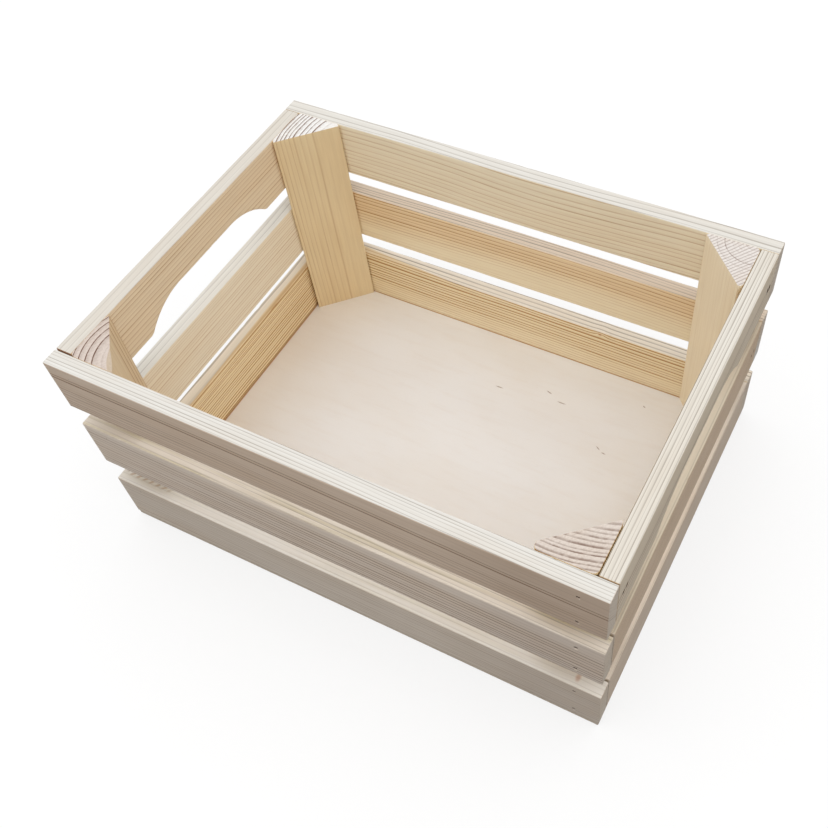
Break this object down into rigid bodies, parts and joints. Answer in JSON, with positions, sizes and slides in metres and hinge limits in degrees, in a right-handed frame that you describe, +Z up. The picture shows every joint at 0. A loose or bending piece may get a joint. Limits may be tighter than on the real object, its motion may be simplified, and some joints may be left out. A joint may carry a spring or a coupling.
{
  "type": "wooden crate",
  "caption": "Open-topped slatted pine crate with triangular corner posts, a plywood bottom and arched hand-holds at both ends, for picking, carrying and stacking fruit.",
  "frame": {"origin": "on the surface that the crate stands on, under the crate's centre", "axes": "+X along the crate's length towards its right end, +Y from the front side to the back side, +Z up"},
  "size_m": [0.4, 0.298, 0.188],
  "materials": {
    "pine_slat": "planed, unfinished",
    "pine_post": "planed and sawn, unfinished",
    "birch_plywood": "sanded, unfinished",
    "brad_steel": "bright wire"
  },
  "bodies": {
    "root": {"front_top_slat": "pine_slat", "front_middle_slat": "pine_slat", "front_bottom_slat": "pine_slat", "back_top_slat": "pine_slat", "back_middle_slat": "pine_slat", "back_bottom_slat": "pine_slat", "left_top_slat": "pine_slat", "left_middle_slat": "pine_slat", "left_bottom_slat": "pine_slat", "right_top_slat": "pine_slat", "right_middle_slat": "pine_slat", "right_bottom_slat": "pine_slat", "front_left_post": "pine_post", "front_right_post": "pine_post", "back_left_post": "pine_post", "back_right_post": "pine_post", "bottom_panel": "birch_plywood", "front_brads": "brad_steel", "back_brads": "brad_steel", "left_brads": "brad_steel", "right_brads": "brad_steel", "bottom_brads": "brad_steel"}
  },
  "joints": []
}
